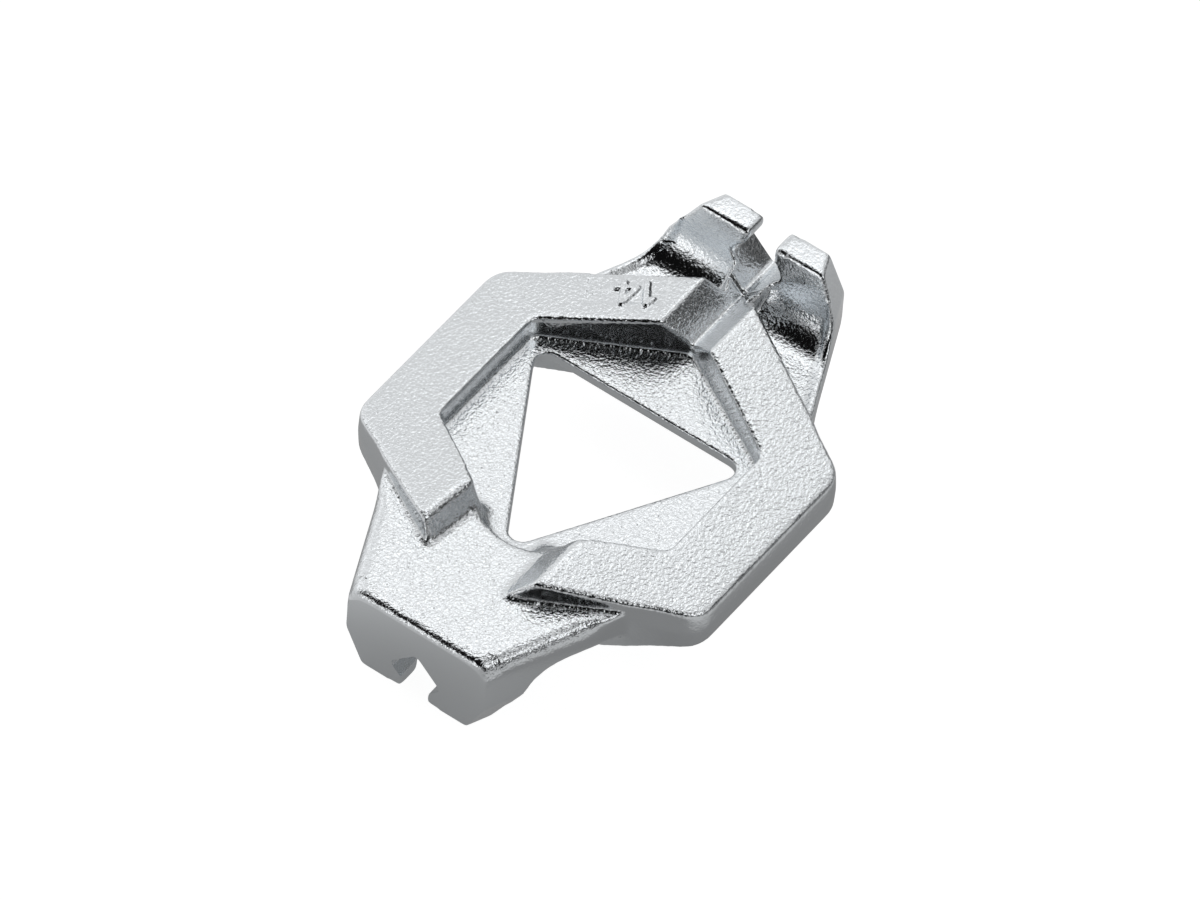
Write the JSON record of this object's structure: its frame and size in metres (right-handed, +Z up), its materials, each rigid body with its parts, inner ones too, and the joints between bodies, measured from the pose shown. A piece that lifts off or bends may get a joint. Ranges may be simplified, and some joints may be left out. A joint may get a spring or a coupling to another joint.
{
  "type": "spoke wrench",
  "caption": "Double ended spoke wrench cast in one piece, with a hexagonal grip ring, a thin web with a triangular window, and a claw jaw with a square seat at each end.",
  "frame": {"origin": "centre of the grip ring, on the middle plane of the casting", "axes": "+X along the wrench towards the jaw that opens upwards, +Y across it, +Z up through the ring"},
  "size_m": [0.0432, 0.0312, 0.0122],
  "materials": {
    "plated_casting": "satin plating over a fine cast skin"
  },
  "bodies": {
    "root": {"wrench_casting": "plated_casting"}
  },
  "joints": []
}
